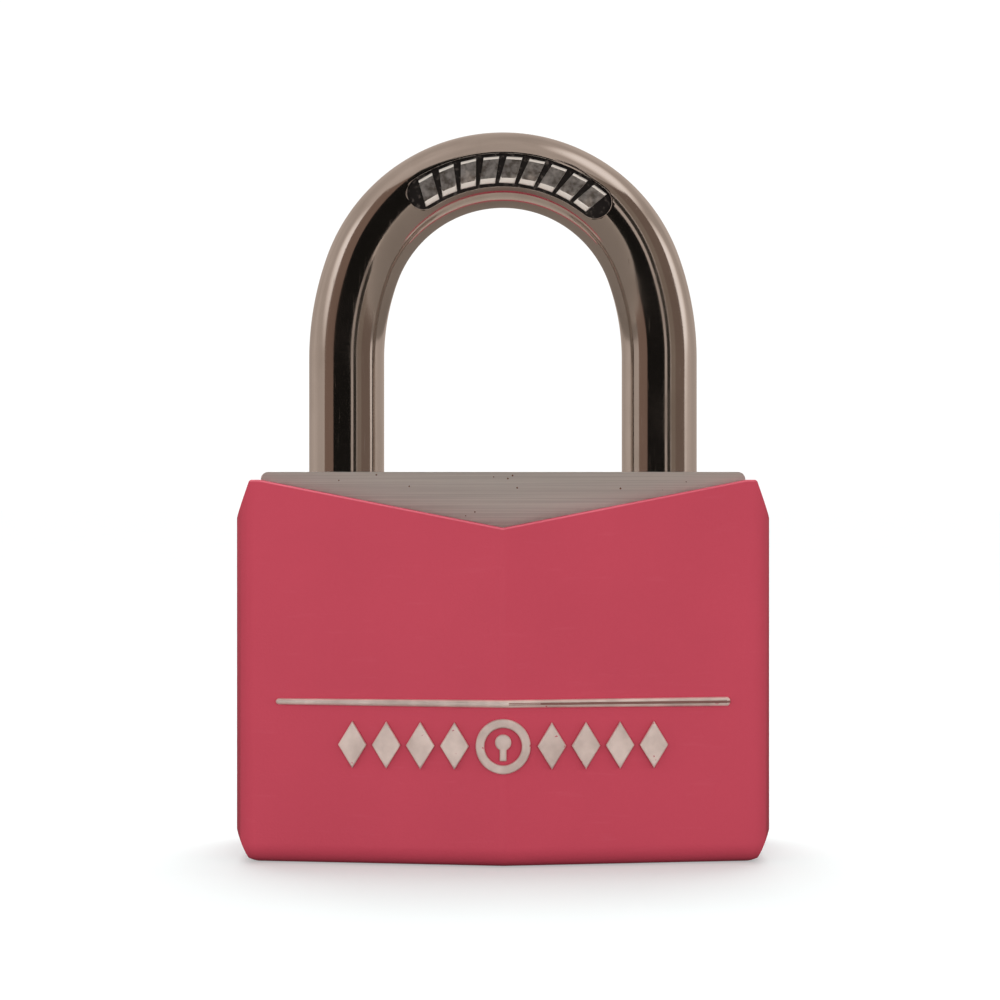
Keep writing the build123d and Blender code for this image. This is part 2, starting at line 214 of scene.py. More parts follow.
grain, enter, leave = new_group(
    "grain",
    [("Per metre", "NodeSocketVector", (1000, 1000, 1000)), ("Detail", "NodeSocketFloat", 3.0),
     ("Low", "NodeSocketFloat", 0.35), ("High", "NodeSocketFloat", 0.65)],
    [("Mask", "NodeSocketFloat")],
)
place = grain.nodes.new("ShaderNodeTexCoord")
stretch = grain.nodes.new("ShaderNodeVectorMath")
stretch.operation = "MULTIPLY"
noise = grain.nodes.new("ShaderNodeTexNoise")
noise.inputs["Scale"].default_value = 1.0
limit = grain.nodes.new("ShaderNodeMapRange")
grain.links.new(place.outputs["Object"], stretch.inputs[0])
grain.links.new(enter.outputs["Per metre"], stretch.inputs[1])
grain.links.new(stretch.outputs[0], noise.inputs["Vector"])
grain.links.new(enter.outputs["Detail"], noise.inputs["Detail"])
grain.links.new(noise.outputs["Fac"], limit.inputs["Value"])
grain.links.new(enter.outputs["Low"], limit.inputs["From Min"])
grain.links.new(enter.outputs["High"], limit.inputs["From Max"])
grain.links.new(limit.outputs["Result"], leave.inputs["Mask"])

# %% node group: small specks, such as rust or lint
specks, enter, leave = new_group(
    "specks",
    [("Per metre", "NodeSocketFloat", 900.0), ("Radius", "NodeSocketFloat", 0.16),
     ("Share", "NodeSocketFloat", 0.2)],
    [("Mask", "NodeSocketFloat")],
)
place = specks.nodes.new("ShaderNodeTexCoord")
cells = specks.nodes.new("ShaderNodeTexVoronoi")
specks.links.new(place.outputs["Object"], cells.inputs["Vector"])
specks.links.new(enter.outputs["Per metre"], cells.inputs["Scale"])
near = math_node(specks, "LESS_THAN", cells.outputs["Distance"], enter.outputs["Radius"])
pick = specks.nodes.new("ShaderNodeSeparateColor")
specks.links.new(cells.outputs["Color"], pick.inputs[0])
chosen = math_node(specks, "LESS_THAN", pick.outputs[0], enter.outputs["Share"])
specks.links.new(math_node(specks, "MULTIPLY", near, chosen), leave.inputs["Mask"])

# %% [markdown]
# ## Helpers for finishes
# Every finish is one Principled shader. What is the same all over is set on the shader's own
# sockets, and only what changes over the surface is linked.

# %% finish helpers
def use(tree, group, **values):
    """Place a node group in a material with its own values, and return its mask."""
    node = tree.nodes.new("ShaderNodeGroup")
    node.node_tree = group
    for name, value in values.items():
        node.inputs[name.replace("_", " ")].default_value = value
    return node.outputs["Mask"]


def mixed(tree, mask, first, second):
    """Colour between two colours or sockets, by a mask."""
    node = tree.nodes.new("ShaderNodeMix")
    node.data_type = "RGBA"
    tree.links.new(mask, node.inputs["Factor"])
    for socket, value in ((node.inputs["A"], first), (node.inputs["B"], second)):
        if isinstance(value, (tuple, list)):
            socket.default_value = (*value, 1) if len(value) == 3 else value
        else:
            tree.links.new(value, socket)
    return node.outputs["Result"]


def ranged(tree, mask, low, high):
    """Turn a mask from 0 to 1 into a value between two limits."""
    node = tree.nodes.new("ShaderNodeMapRange")
    tree.links.new(mask, node.inputs["Value"])
    node.inputs["To Min"].default_value = low
    node.inputs["To Max"].default_value = high
    return node.outputs["Result"]


def either(tree, mask, first, second):
    """Shader that is the first where the mask is 0, and the second where it is 1."""
    node = tree.nodes.new("ShaderNodeMixShader")
    for socket, source in zip(node.inputs, (mask, first, second)):
        tree.links.new(source, socket)
    return node.outputs[0]


def bumped(tree, shader, height, depth, strength):
    """Bump from a height mask, with its depth in metres."""
    node = tree.nodes.new("ShaderNodeBump")
    node.inputs["Distance"].default_value = depth
    node.inputs["Strength"].default_value = strength
    tree.links.new(height, node.inputs["Height"])
    tree.links.new(node.outputs["Normal"], shader.inputs["Normal"])


def finish(name, **sockets):
    """New material with a Principled shader, and its plain sockets set."""
    material = bpy.data.materials.new(name)
    material.use_nodes = True
    shader = material.node_tree.nodes["Principled BSDF"]
    for socket, value in sockets.items():
        shader.inputs[socket.replace("_", " ")].default_value = value
    return material, material.node_tree, shader


def recoloured(material, name, colour, metallic):
    """Copy of a material in one colour, with its grain left in the roughness and the bumps."""
    copy = material.copy()
    copy.name = name
    tree = copy.node_tree
    shader = next(node for node in tree.nodes if node.type == "BSDF_PRINCIPLED")
    for name_of_socket, value in (("Base Color", (*colour, 1)), ("Metallic", metallic)):
        socket = shader.inputs[name_of_socket]
        for link in list(socket.links):
            tree.links.remove(link)
        socket.default_value = value
    return copy


# %% [markdown]
# ## Finish: moulded vinyl cover
# The cover is dip-moulded in a dull rose red. Up close it has a fine pebble, faint cloudy
# patches where the mould was warmer, and a few paler scuffs. The pebble is a very shallow
# bump, because a deep one would make the face look like leather.

# %% cover vinyl
cover_red = (0.467, 0.056, 0.088)
scuff_red = (0.56, 0.11, 0.15)
# The paler red below is a painted highlight for the rounded lip and shoulder edges.
lip_highlight_red = (0.72, 0.17, 0.22)
cooler, warmer = (tuple(c * gain for c in cover_red) for gain in (0.98, 1.02))
vinyl, tree, shader = finish("cover_vinyl", IOR=1.45)
shader.inputs["Specular IOR Level"].default_value = 0.22
clouds = use(tree, grain, Per_metre=(90, 90, 90), Detail=2.0)
scuffs = use(tree, grain, Per_metre=(260, 260, 1900), Detail=4.0, Low=0.62, High=0.80)
pebble = use(tree, grain, Per_metre=(5200, 5200, 5200), Detail=2.0, Low=0.3, High=0.7)
cloudy = mixed(tree, clouds, cooler, warmer)
scuffed = mixed(tree, ranged(tree, scuffs, 0.0, 0.14), cloudy, scuff_red)
# Paler red on the rounded lip and shoulder edges, broken up by the clouds: a painted highlight.
edge = tree.nodes.new("ShaderNodeAttribute")
edge.attribute_name = "lip_highlight_edge"
lip_highlight_mask = math_node(tree, "MULTIPLY", edge.outputs["Fac"], ranged(tree, clouds, 0.45, 0.7))
tree.links.new(mixed(tree, lip_highlight_mask, scuffed, lip_highlight_red), shader.inputs["Base Color"])
tree.links.new(ranged(tree, pebble, 0.48, 0.60), shader.inputs["Roughness"])
bumped(tree, shader, pebble, 0.012 * MM, 0.6)

# %% [markdown]
# ## Finish: brushed aluminium block
# The block is cut from a drawn bar and brushed along its width, so its lines are long along X
# and very fine across. A few brown specks have started on it.

# %% brushed aluminium
aluminium, tree, shader = finish("brushed_aluminium", Metallic=0.82, Anisotropic=0.4)
lines = use(tree, grain, Per_metre=(60, 9000, 9000), Detail=6.0, Low=0.25, High=0.75)
bands = use(tree, grain, Per_metre=(25, 700, 700), Detail=3.0)
rust = use(tree, specks, Per_metre=2600.0, Radius=0.2, Share=0.03)
metal = mixed(tree, lines, (0.70, 0.65, 0.60), (0.94, 0.89, 0.83))
metal = mixed(tree, ranged(tree, bands, 0.0, 0.35), metal, (0.68, 0.62, 0.57))
tree.links.new(mixed(tree, rust, metal, (0.24, 0.11, 0.06)), shader.inputs["Base Color"])
tree.links.new(ranged(tree, lines, 0.30, 0.44), shader.inputs["Roughness"])
bumped(tree, shader, lines, 0.006 * MM, 0.5)

# %% [markdown]
# ## Finish: chromed shackle
# Chrome over hardened steel is a clean mirror with a warm grey tint. Handling leaves hair
# scratches, and the plating is never quite flat, which makes reflections waver slightly.

# %% chrome
chrome, tree, shader = finish("shackle_chrome", Metallic=1.0)
waver = use(tree, grain, Per_metre=(160, 160, 120), Detail=1.0, Low=0.2, High=0.8)
hairs = use(tree, grain, Per_metre=(5000, 5000, 260), Detail=3.0, Low=0.60, High=0.74)
haze = use(tree, grain, Per_metre=(230, 230, 150), Detail=4.0, Low=0.45, High=0.8)
plating = mixed(tree, haze, (0.70, 0.655, 0.62), (0.60, 0.55, 0.51))
tree.links.new(plating, shader.inputs["Base Color"])
hazy, scratched = ranged(tree, haze, 0.09, 0.19), ranged(tree, hairs, 0.0, 0.26)
tree.links.new(math_node(tree, "MAXIMUM", hazy, scratched), shader.inputs["Roughness"])
bumped(tree, shader, waver, 0.02 * MM, 0.6)

# %% [markdown]
# ## Finish: blackened recess
# The sunk band in the crown keeps a dull black scale from hardening, which the polishing
# wheel can't reach.

# %% recess
recess, tree, shader = finish("recess_scale", Metallic=0.5)
flecks = use(tree, grain, Per_metre=(2600, 2600, 2600), Detail=5.0, Low=0.55, High=0.7)
scale = mixed(tree, flecks, (0.016, 0.013, 0.012), (0.12, 0.10, 0.088))
tree.links.new(scale, shader.inputs["Base Color"])
tree.links.new(ranged(tree, flecks, 0.55, 0.35), shader.inputs["Roughness"])
bumped(tree, shader, flecks, 0.02 * MM, 0.8)

# %% marks that stand in the recess
mark_metal, tree, shader = finish("mark_metal", Metallic=0.85)
worn = use(tree, grain, Per_metre=(1800, 1800, 1800), Detail=4.0, Low=0.35, High=0.65)
bare = mixed(tree, worn, (0.22, 0.195, 0.175), (0.66, 0.61, 0.57))
tree.links.new(bare, shader.inputs["Base Color"])
tree.links.new(ranged(tree, worn, 0.42, 0.28), shader.inputs["Roughness"])
bumped(tree, shader, worn, 0.02 * MM, 0.7)
# Pale cream copy for the sides and rounded ends of the marks: a painted highlight.
mark_highlight = recoloured(mark_metal, "painted_mark_highlight", (0.86, 0.80, 0.73), 0.4)

# %% [markdown]
# ## Finish: silver foil
# The raised line and emblem are hot-stamped with a silver foil. It is thin, so it rubs off in
# places and the red shows through. A second look, dull and brown, is painted shade for the
# groove in the line.

# %% foil
foil, tree, shader = finish("silver_foil", IOR=1.45)
rubbed = use(tree, grain, Per_metre=(1500, 1500, 1500), Detail=5.0, Low=0.68, High=0.73)
tint = use(tree, grain, Per_metre=(500, 500, 500), Detail=3.0)
silver = mixed(tree, tint, (0.68, 0.55, 0.50), (0.90, 0.75, 0.685))
tree.links.new(mixed(tree, rubbed, silver, cover_red), shader.inputs["Base Color"])
tree.links.new(ranged(tree, rubbed, 0.5, 0.0), shader.inputs["Metallic"])
tree.links.new(ranged(tree, rubbed, 0.30, 0.55), shader.inputs["Roughness"])
bumped(tree, shader, tint, 0.01 * MM, 0.5)
# Dark brown copy for the groove's faces: a painted shade.
groove_shade_foil = recoloured(foil, "painted_groove_shade", (0.26, 0.13, 0.11), 0.3)

# %% [markdown]
# ## Finishes inside the lock
# The plug and the pins are turned brass, the springs are drawn wire, the cross pins and bolts
# are ground steel, and the cam is cast zinc. They show through the keyway and when the
# shackle is lifted.

# %% turned, ground and cast metals
def worked_metal(name, dark, light, per_metre, rough_low, rough_high):
    """Metal with tool marks of a given spacing."""
    material, tree, shader = finish(name, Metallic=1.0)
    marks = use(tree, grain, Per_metre=per_metre, Detail=4.0, Low=0.3, High=0.7)
    tree.links.new(mixed(tree, marks, dark, light), shader.inputs["Base Color"])
    tree.links.new(ranged(tree, marks, rough_low, rough_high), shader.inputs["Roughness"])
    bumped(tree, shader, marks, 0.004 * MM, 0.5)
    return material


brass = worked_metal(
    "turned_brass", (0.50, 0.34, 0.13), (0.76, 0.58, 0.28), (900, 900, 5000), 0.22, 0.36
)
steel = worked_metal(
    "ground_steel", (0.34, 0.33, 0.32), (0.56, 0.55, 0.54), (300, 5000, 5000), 0.25, 0.4
)
wire = worked_metal(
    "drawn_wire", (0.30, 0.30, 0.31), (0.55, 0.55, 0.56), (3000, 3000, 3000), 0.2, 0.35
)
zinc = worked_metal(
    "cast_zinc", (0.36, 0.37, 0.38), (0.52, 0.53, 0.54), (2500, 2500, 2500), 0.4, 0.6
)

finish_of_slot = {
    "cover_plastic": vinyl,
    "silver_foil": foil,
    "block_aluminium": aluminium,
    "shackle_chrome": chrome,
    "spring_steel": wire,
    "pin_steel": steel,
    "plug_brass": brass,
    "cam_zinc": zinc,
}
for row in frame["record"]["subparts"]:
    mesh = nodes[row["node"]].data
    mesh.materials.clear()
    mesh.materials.append(finish_of_slot[row["material_slot"]])
print("finished", len(nodes), "CAD nodes")

# %% [markdown]
# ## The cover
# The cover is one moulding: six-sided from above, with a crease down the front and the back,
# and cut low in a shallow V so that the block shows. A moulder can't make a knife edge, so
# every outside corner is round. The body is pulled up from its plan and bevelled, trimmed by
# a front outline, hollowed for the block, and then its lip is bevelled as well.

# %% cover sizes
side_depth = 16.0 * MM
side_corner = 1.65 * MM
crease_corner = 0.42 * MM
base_corner = 1.7 * MM
lip_corner = 0.62 * MM
shoulder_corner = 0.35 * MM
notch_depth = 3.9 * MM
top_chamfer = (1.2 * MM, 3.2 * MM)
foot_chamfer = (1.05 * MM, 2.4 * MM)
foot_flat = (0.85 * MM, 0.3 * MM)
shoulder_flat = 0.8 * MM
lip_starts = 4 * MM
lip_turn = radians(25)
cover_floor = block_low.z
window_radius = 5.5 * MM
window_steps = 72
pocket_play = 0.05 * MM


# %% cover body
def upright(edge):
    """Whether an edge runs along Z."""
    run = edge.verts[0].co - edge.verts[1].co
    return abs(run.z) > 0.9 * run.length


half_width = (cover_high.x - cover_low.x) / 2
crease = (cover_high.y - cover_low.y) / 2
bm = bmesh.new()
plan = [(-half_width, side_depth / 2), (-half_width, -side_depth / 2), (0, -crease)]
plan += [(-x, -y) for x, y in plan]
corners = [bm.verts.new((x, y, cover_low.z)) for x, y in plan]
thickened(bm, bm.faces.new(corners), (0, 0, block_high.z - cover_low.z))
sides = [e for e in bm.edges if upright(e) and abs(e.verts[0].co.x) > half_width / 2]
bevelled(bm, sides, side_corner, 8)
creases = [e for e in bm.edges if upright(e) and abs(e.verts[0].co.x) < MM / 10]
bevelled(bm, creases, crease_corner, 5)
base = [e for e in bm.edges if all(abs(v.co.z - cover_low.z) < MM / 100 for v in e.verts)]
bevelled(bm, base, base_corner, 8)
cover = piece_from(bm, "moulded_cover")

# %% trim the cover to its front outline
foot = half_width - foot_chamfer[0]
shoulder = half_width - top_chamfer[0]
right = [
    (foot - foot_flat[0], cover_low.z),
    (foot, cover_low.z + foot_flat[1]),
    (half_width, cover_low.z + foot_flat[1] + foot_chamfer[1]),
    (half_width, cover_high.z - top_chamfer[1]),
    (shoulder, cover_high.z),
    (shoulder - shoulder_flat, cover_high.z),
]
outline = right + [(0, cover_high.z - notch_depth)] + [(-x, z) for x, z in reversed(right)]
combined(cover, prism(outline, -2 * crease, 2 * crease, "front_outline"), "INTERSECT")


def round_lip(bm):
    """Round where the front outline meets the outside of the cover."""
    lip, shoulders = [], []
    for edge in bm.edges:
        if len(edge.link_faces) != 2:
            continue
        off_outline = min(abs(face.normal.y) for face in edge.link_faces) > 0.01
        low = max(v.co.z for v in edge.verts) < lip_starts
        if off_outline or low or edge.calc_face_angle() < lip_turn:
            continue
        top = min(v.co.z for v in edge.verts) > cover_high.z - notch_depth - 0.1 * MM
        on_notch = top and max(abs(v.co.x) for v in edge.verts) < shoulder + 0.05 * MM
        (lip if on_notch else shoulders).append(edge)
    print("lip edges", len(lip), "shoulder edges", len(shoulders))
    # The faces of these roundings are marked for a paler red in the vinyl: a painted highlight.
    lip_highlight_edge = bm.verts.layers.float.new("lip_highlight_edge")
    made = bevelled(bm, lip, lip_corner, 6)
    made += bevelled(bm, [e for e in shoulders if e.is_valid], shoulder_corner, 4)
    made = {face for face in made if face.is_valid}
    for vert in {v for face in made for v in face.verts}:
        vert[lip_highlight_edge] = 1.0 if all(face in made for face in vert.link_faces) else 0.0


reshaped(cover, round_lip)

# %% hollow the cover for the block and the plug
wide, deep = block_high.x + pocket_play, block_high.y + pocket_play
pocket = [(-wide, -deep), (wide, -deep), (wide, deep), (-wide, deep)]
combined(cover, prism(pocket, cover_floor, cover_high.z + 5 * MM, "pocket", axis="Z"), "DIFFERENCE")
bm = bmesh.new()
bmesh.ops.create_circle(bm, cap_ends=True, segments=window_steps, radius=window_radius)
bmesh.ops.translate(bm, verts=bm.verts, vec=(0, 0, cover_low.z - MM))
thickened(bm, list(bm.faces)[0], (0, 0, cover_floor + MM))
combined(cover, piece_from(bm, "window"), "DIFFERENCE")
cover.data.materials.clear()
cover.data.materials.append(vinyl)
smooth(cover)
keep_flats_flat(cover)
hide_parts("cover")
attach(cover, "lock")
size = [round(v / MM, 2) for v in cover.dimensions]
print("cover", len(cover.data.polygons), "faces", size)

# %% [markdown]
# ## The raised line and emblem
# Both stand 0.4 mm proud of the face and are stamped with foil, so their rims are soft. The
# outlines come from the drawing's own nodes. Their flat facets are merged before the rim is
# rounded, because a bevel needs one clean edge loop. The line is a little finer at its left
# end, where the mould was filled last.

# %% soft rims on the trim
def round_rim(node, offset, segments, name):
    """Copy a node's shape, merge its flat facets and round the rim of its front."""
    bm = bmesh.new()
    bm.from_mesh(nodes[node].data)
    bmesh.ops.remove_doubles(bm, verts=bm.verts, dist=0.002 * MM)
    bmesh.ops.dissolve_limit(bm, angle_limit=radians(0.5), verts=bm.verts, edges=bm.edges)
    bmesh.ops.recalc_face_normals(bm, faces=bm.faces)
    rim = []
    for edge in bm.edges:
        if len(edge.link_faces) == 2 and edge.calc_face_angle() > radians(50):
            if min(face.normal.y for face in edge.link_faces) < -0.9:
                rim.append(edge)
    print(name, "rim edges", len(rim))
    bevelled(bm, rim, offset, segments, clamp=False)
    piece = piece_from(bm, name)
    smooth(piece, corner=50)
    keep_flats_flat(piece)
    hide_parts(node)
    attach(piece, "lock")
    piece.data.materials.clear()
    piece.data.materials.append(foil)
    return piece


left_thickness, right_thickness = 0.82, 1.24
raised_line = round_rim("front_rule", 0.28 * MM, 6, "raised_line")
rule_z = (rule_low.z + rule_high.z) / 2
for vert in raised_line.data.vertices:
    share = (vert.co.x - rule_low.x) / (rule_high.x - rule_low.x)
    thickness = left_thickness + (right_thickness - left_thickness) * share
    vert.co.z = rule_z + (vert.co.z - rule_z) * thickness
round_rim("front_emblem", 0.13 * MM, 4, "raised_emblem")

# %% [markdown]
# ## The groove in the line
# The right half of the line is two thin ridges with a dull groove between them. The groove's
# floor follows the front of the line, which is met by rays, and its sides follow the slope of
# the line.

# %% wear a groove into the right end of the line
groove_start = 3 * MM
groove_width = 0.15 * MM
groove_depth = 0.14 * MM
groove_step = 1.2 * MM
line_end = rule_high.x - 0.5 * MM


def end_height(side):
    """Mean height of the line at its left (-1) or right (1) end."""
    heights = [v.co.z for v in raised_line.data.vertices if v.co.x * side > line_end]
    return sum(heights) / len(heights)


left_z, right_z = end_height(-1), end_height(1)


def line_z(x):
    """Height of the groove's middle."""
    return left_z + (right_z - left_z) * (x + line_end) / (2 * line_end)


bpy.context.view_layer.update()
floor_line = []
for step in range(ceil((line_end - groove_start) / groove_step)):
    x = groove_start + step * groove_step
    _, place, _, _ = raised_line.ray_cast((x, rule_low.y - MM, line_z(x)), (0, 1, 0))
    floor_line.append((x, place.y + groove_depth))
(x1, y1), (x2, y2) = floor_line[-2:]
floor_line.append((x2 + 2 * (x2 - x1), y2 + 2 * (y2 - y1)))
outline = floor_line + [(x, y - MM) for x, y in floor_line[::-1]]
groove = prism(outline, -groove_width / 2, groove_width / 2, "groove", axis="Z")
for vert in groove.data.vertices:
    vert.co.z += line_z(vert.co.x)
combined(raised_line, groove, "DIFFERENCE")
# The groove's faces take the dark copy, a painted shade, because the front light reaches the floor
# of so shallow a groove.
raised_line.data.materials.append(groove_shade_foil)
for face in raised_line.data.polygons:
    aside = abs(face.center.z - line_z(face.center.x))
    in_groove = face.center.x > groove_start and aside < groove_width / 2 + MM / 100
    if in_groove and face.normal.y < 0.5:
        face.material_index = 1
print("groove faces", sum(face.material_index for face in raised_line.data.polygons))

# %% [markdown]
# ## The shackle
# The shackle is a round bar bent in one plane. A ring of points is carried along its path:
# pulled straight up the toe leg, spun through the two shoulders and the crown, and pulled
# down the heel leg, where it is necked for the pin that keeps it in. The notches for the
# bolts and the sunk band in the crown are then cut out of the closed bar.

# %% shackle sizes
crown_radius = 12.65 * MM
shoulder_radius = 22.5 * MM
toe_bottom = 21.4 * MM
toe_taper = 0.9 * MM
neck_radius = 1.9 * MM
collar_top = 7.6 * MM
neck_top = 20.9 * MM
heel_chamfer = 0.3 * MM
notch_z = 25.5 * MM
notch_height = 3.8 * MM
notch_floor = 11.505 * MM
band_width = 2.7 * MM
band_floor = bar - 0.58 * MM
band_below_axis = 0.35 * MM
band_middle = radians(3)
band_half = radians(42) - band_width / 2 / (crown_radius - band_below_axis)
mark_count = 9
mark_rise = 0.4 * MM
mark_size = (1.3 * MM, 2.3 * MM)
mark_slant = radians(14)
mark_spread = 0.93
rim_round = 0.13 * MM
crest_round = 0.26 * MM
round_steps = 96
leg_steps, shoulder_steps, crown_steps, heel_steps = 6, 20, 90, 4

shoulder_centre = shoulder_radius - leg_x
crown_rise = sqrt((shoulder_radius - crown_radius) ** 2 - shoulder_centre**2)
crown_z = shackle_high.z - bar - crown_radius
spring_line = crown_z - crown_rise
shoulder_turn = atan2(crown_rise, shoulder_centre)


# %% carry the ring along the bar
def pull(bm, edges, shift):
    """Pull a ring of edges by a distance, and return the new ring."""
    made = bmesh.ops.extrude_edge_only(bm, edges=edges)["geom"]
    bmesh.ops.translate(bm, verts=verts_in(made), vec=shift)
    return edges_in(made)


def ring_to(bm, edges, radius):
    """Draw a ring of edges on the heel leg in or out to a radius."""
    points = list({v for e in edges for v in e.verts})
    share = radius / (points[0].co - Vector((leg_x, 0, points[0].co.z))).length
    to_axis = Matrix.Translation((-leg_x, 0, 0))
    bmesh.ops.scale(bm, vec=(share, share, 1), space=to_axis, verts=points)


def turn(bm, edges, centre, angle, steps):
    """Spin a ring of edges about Y, and return the new ring."""
    points = {v for e in edges for v in e.verts}
    made = bmesh.ops.spin(
        bm, geom=[*points, *edges], cent=centre, axis=(0, 1, 0), angle=angle, steps=steps,
        use_merge=False,
    )["geom_last"]
    return edges_in(made)


bm = bmesh.new()
bmesh.ops.create_circle(bm, cap_ends=True, segments=round_steps, radius=bar - toe_taper)
bmesh.ops.translate(bm, verts=bm.verts, vec=(-leg_x, 0, toe_bottom))
ring = pull(bm, list(bm.edges), (0, 0, toe_taper))
points = list({v for e in ring for v in e.verts})
share = bar / (bar - toe_taper)
to_axis = Matrix.Translation((leg_x, 0, 0))
bmesh.ops.scale(bm, vec=(share, share, 1), space=to_axis, verts=points)
straight = spring_line - toe_bottom - toe_taper
for step in range(leg_steps):
    ring = pull(bm, ring, (0, 0, straight / leg_steps))
ring = turn(bm, ring, (shoulder_centre, 0, spring_line), shoulder_turn, shoulder_steps)
ring = turn(bm, ring, (0, 0, crown_z), pi - 2 * shoulder_turn, crown_steps)
ring = turn(bm, ring, (-shoulder_centre, 0, spring_line), shoulder_turn, shoulder_steps)
for step in range(heel_steps):
    ring = pull(bm, ring, (0, 0, (neck_top - spring_line) / heel_steps))
for radius, bottom, above in (
    (neck_radius, neck_top, neck_top),
    (neck_radius, collar_top, neck_top),
    (bar, collar_top, collar_top),
    (bar, shackle_low.z + heel_chamfer, collar_top),
    (bar - heel_chamfer, shackle_low.z, shackle_low.z + heel_chamfer),
):
    ring = pull(bm, ring, (0, 0, bottom - above))
    ring_to(bm, ring, radius)
bmesh.ops.contextual_create(bm, geom=ring)
shackle = piece_from(bm, "chromed_shackle")
print("bar", len(shackle.data.polygons), "faces")

# %% cut the bolt notches
for side in (-1, 1):
    near, far = side * (leg_x - bar - MM), side * notch_floor
    low, high = notch_z - notch_height / 2, notch_z + notch_height / 2
    corners = [(near, low), (far, low), (far, high), (near, high)]
    combined(shackle, prism(corners, -2 * bar, 2 * bar, "notch"), "DIFFERENCE")


# %% cut the sunk band, and leave its marks standing
def on_crown(radius, angle):
    """Point (x, z) on a circle about the crown's centre, at an angle from straight up."""
    return (radius * sin(angle), crown_z + radius * cos(angle))


def slot_outline(radius, start, end, width, steps=40, end_steps=12):
    """Curved slot with round ends that follows the crown, as (x, z) points."""
    angles = [start + (end - start) * i / steps for i in range(steps + 1)]
    outer = [on_crown(radius + width / 2, angle) for angle in angles]
    inner = [on_crown(radius - width / 2, angle) for angle in angles[::-1]]
    ends = []
    for sign, angle in ((1, end), (-1, start)):
        middle = Vector(on_crown(radius, angle))
        out = Vector((sin(angle), cos(angle))) * width / 2
        along = Vector((cos(angle), -sin(angle))) * sign * width / 2
        turns = [pi * i / end_steps for i in range(1, end_steps)]
        arc = [middle + (out * cos(t) + along * sin(t)) for t in turns]
        ends.append([tuple(p) for p in (arc if sign > 0 else arc[::-1])])
    return outer + ends[0] + inner + ends[1]


band_radius = crown_radius - band_below_axis
band_ends = (band_middle - band_half, band_middle + band_half)
slot = slot_outline(band_radius, *band_ends, band_width)
cutter = prism(slot, -band_floor - 2 * bar, -band_floor, "band")
for i in range(mark_count):
    angle = band_middle + band_half * (2 * i / (mark_count - 1) - 1) * mark_spread
    middle = Vector(on_crown(band_radius, angle))
    across = Vector((cos(angle), -sin(angle))) * mark_size[0] / 2
    along = Vector((sin(angle + mark_slant), cos(angle + mark_slant))) * mark_size[1] / 2
    signs = ((-1, -1), (1, -1), (1, 1), (-1, 1))
    corners = [tuple(middle + across * sx + along * sy) for sx, sy in signs]
    mark = prism(corners, -band_floor - mark_rise, -band_floor + MM / 10, "mark")
    combined(cutter, mark, "DIFFERENCE")
combined(shackle, cutter, "DIFFERENCE")


def soften_band(bm):
    """Round the rim of the sunk band and the ends of its marks, as polishing does."""
    rim, crests = [], []
    for edge in bm.edges:
        ends = [v.co for v in edge.verts]
        inside = all(end.z > crown_z + bar and end.y < -band_floor - MM / 20 for end in ends)
        if inside and len(edge.link_faces) == 2 and edge.calc_face_angle() > radians(40):
            on_mark = all(abs(end.y + band_floor + mark_rise) < MM / 1000 for end in ends)
            (crests if on_mark else rim).append(edge)
    print("rim edges", len(rim), "crest edges", len(crests))
    bevelled(bm, rim, rim_round, 3, clamp=False)
    bevelled(bm, [e for e in crests if e.is_valid], crest_round, 3, clamp=False)


reshaped(shackle, soften_band)
shackle.data.materials.clear()
for material in (chrome, recess, mark_metal, mark_highlight):
    shackle.data.materials.append(material)
in_scale, on_face, highlighted_edge = 1, 2, 3
for face in shackle.data.polygons:
    place = face.center
    angle = min(max(atan2(place.x, place.z - crown_z), band_ends[0]), band_ends[1])
    from_band = (Vector((place.x, place.z)) - Vector(on_crown(band_radius, angle))).length
    if place.y > 0:
        continue
    if from_band < band_width / 2 - 0.05 * MM:
        if place.y > -band_floor - mark_rise * 0.3:
            face.material_index = in_scale
        else:
            # Mark faces that don't face the front get the pale copy, a painted highlight.
            face.material_index = on_face if face.normal.y < -0.97 else highlighted_edge
    elif from_band < band_width / 2 + 0.02 * MM and place.y > -band_floor - 0.3 * MM:
        face.material_index = in_scale
smooth(shackle, corner=40)
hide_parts("shackle")
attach(shackle, "shackle")
size = [round(v / MM, 2) for v in shackle.dimensions]
print("shackle", len(shackle.data.polygons), "faces", size)

# %% [markdown]
# ## The springs
# A coil spring is a round wire carried along a helix. Spinning a small ring with a step
# forward at each turn makes it in one operation.

# %% coil springs
heel_wire, heel_turns = 0.26 * MM, 5.5
pin_wire, pin_turns = 0.15 * MM, 14.5
bolt_wire, bolt_turns = 0.15 * MM, 7.5


def coil(name, start, end, outside, wire_radius, turns, steps=20, sides=10):
    """Coil spring between two points on a line along X or Z."""
    start, end = Vector(start), Vector(end)
    axis = (end - start).normalized()
    aside = Vector((0, 1, 0))
    bm = bmesh.new()
    bmesh.ops.create_circle(bm, segments=sides, radius=wire_radius)
    stand = Matrix((aside, axis, axis.cross(aside))).transposed().to_4x4()
    bmesh.ops.transform(bm, matrix=stand, verts=bm.verts)
    middle = start + axis * wire_radius + aside * (outside - wire_radius)
    bmesh.ops.translate(bm, verts=bm.verts, vec=middle)
    ring = list(bm.edges)
    total = int(turns * steps)
    travel = (end - start).length - 2 * wire_radius
    made = bmesh.ops.spin(
        bm, geom=[*bm.verts, *bm.edges], cent=start, axis=axis, dvec=axis * travel / total,
        angle=2 * pi * turns, steps=total, use_merge=False,
    )["geom_last"]
    for loop in (ring, edges_in(made)):
        bmesh.ops.contextual_create(bm, geom=loop)
    spring = piece_from(bm, name)
    spring.data.materials.append(wire)
    smooth(spring, corner=60)
    return spring


